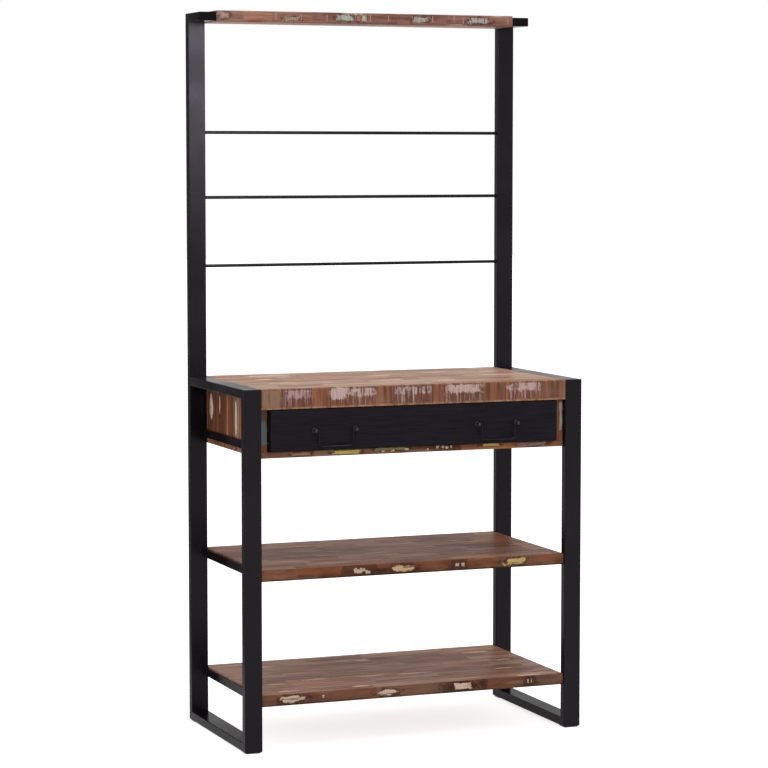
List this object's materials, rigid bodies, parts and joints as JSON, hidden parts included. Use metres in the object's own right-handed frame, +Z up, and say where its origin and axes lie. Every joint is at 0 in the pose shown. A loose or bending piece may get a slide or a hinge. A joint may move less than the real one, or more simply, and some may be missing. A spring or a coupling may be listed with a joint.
{
  "type": "kitchen shelf",
  "caption": "Free-standing kitchen shelf: welded steel tube side frames, a wooden counter over a wide drawer, open shelves below, and posts with hanging rods up to a shallow top shelf.",
  "frame": {"origin": "middle of the footprint, on the floor", "axes": "+X to the right seen from the front, +Y to the back, +Z up"},
  "size_m": [0.9, 0.4686, 1.814],
  "materials": {
    "black_steel": "satin black powder coat",
    "reclaimed_wood": "lacquered reclaimed planks with worn paint traces",
    "black_lacquered_wood": "satin black lacquer",
    "drawer_wood": "plain sealed softwood",
    "zinc_steel": "bright zinc plate",
    "glide_plastic": "moulded black plastic"
  },
  "bodies": {
    "frame": {"carcass_back": "reclaimed_wood", "carcass_bottom": "reclaimed_wood", "carcass_screws": "black_steel", "counter_fascia": "reclaimed_wood", "counter_top": "reclaimed_wood", "foot_glides": "glide_plastic", "left_arm": "black_steel", "left_arm_cap": "black_steel", "left_back_leg": "black_steel", "left_bottom_rail": "black_steel", "left_cabinet_slide": "zinc_steel", "left_drawer_rail": "black_steel", "left_front_leg": "black_steel", "left_lower_shelf_rail": "black_steel", "left_middle_shelf_rail": "black_steel", "left_post": "black_steel", "left_post_spigot": "black_steel", "left_side_panel": "reclaimed_wood", "left_top_rail": "black_steel", "lower_rod": "black_steel", "lower_shelf": "reclaimed_wood", "middle_rod": "black_steel", "middle_shelf": "reclaimed_wood", "post_screws": "black_steel", "right_arm": "black_steel", "right_arm_cap": "black_steel", "right_back_leg": "black_steel", "right_bottom_rail": "black_steel", "right_cabinet_slide": "zinc_steel", "right_drawer_rail": "black_steel", "right_front_leg": "black_steel", "right_lower_shelf_rail": "black_steel", "right_middle_shelf_rail": "black_steel", "right_post": "black_steel", "right_post_spigot": "black_steel", "right_side_panel": "reclaimed_wood", "right_top_rail": "black_steel", "shelf_screws": "black_steel", "top_shelf": "reclaimed_wood", "top_shelf_pins": "zinc_steel", "upper_rod": "black_steel"},
    "drawer": {"drawer_front": "black_lacquered_wood", "left_drawer_side": "drawer_wood", "right_drawer_side": "drawer_wood", "drawer_back": "drawer_wood", "drawer_bottom": "drawer_wood", "left_drawer_slide": "zinc_steel", "right_drawer_slide": "zinc_steel", "handle_posts": "black_steel", "handle_screws": "zinc_steel"},
    "ball_cages": {"left_ball_cage": "zinc_steel", "right_ball_cage": "zinc_steel"},
    "left_bail": {"left_bail": "black_steel"},
    "right_bail": {"right_bail": "black_steel"}
  },
  "joints": [
    {"name": "drawer_run", "type": "slide", "parent": "frame", "child": "drawer", "axis": [0, -1, 0], "range_m": [0, 0.3]},
    {"name": "ball_cage_run", "type": "slide", "parent": "frame", "child": "ball_cages", "axis": [0, -1, 0], "range_m": [0, 0.15]},
    {"name": "left_bail_swing", "type": "hinge", "parent": "drawer", "child": "left_bail", "pos_m": [-0.216, -0.235, 0.786], "axis": [-1, 0, 0], "range_deg": [-10, 190]},
    {"name": "right_bail_swing", "type": "hinge", "parent": "drawer", "child": "right_bail", "pos_m": [0.216, -0.235, 0.786], "axis": [-1, 0, 0], "range_deg": [-10, 190]}
  ],
  "couplings": [
    {"joint": "ball_cage_run", "follows": "drawer_run", "ratio": 0.5}
  ]
}
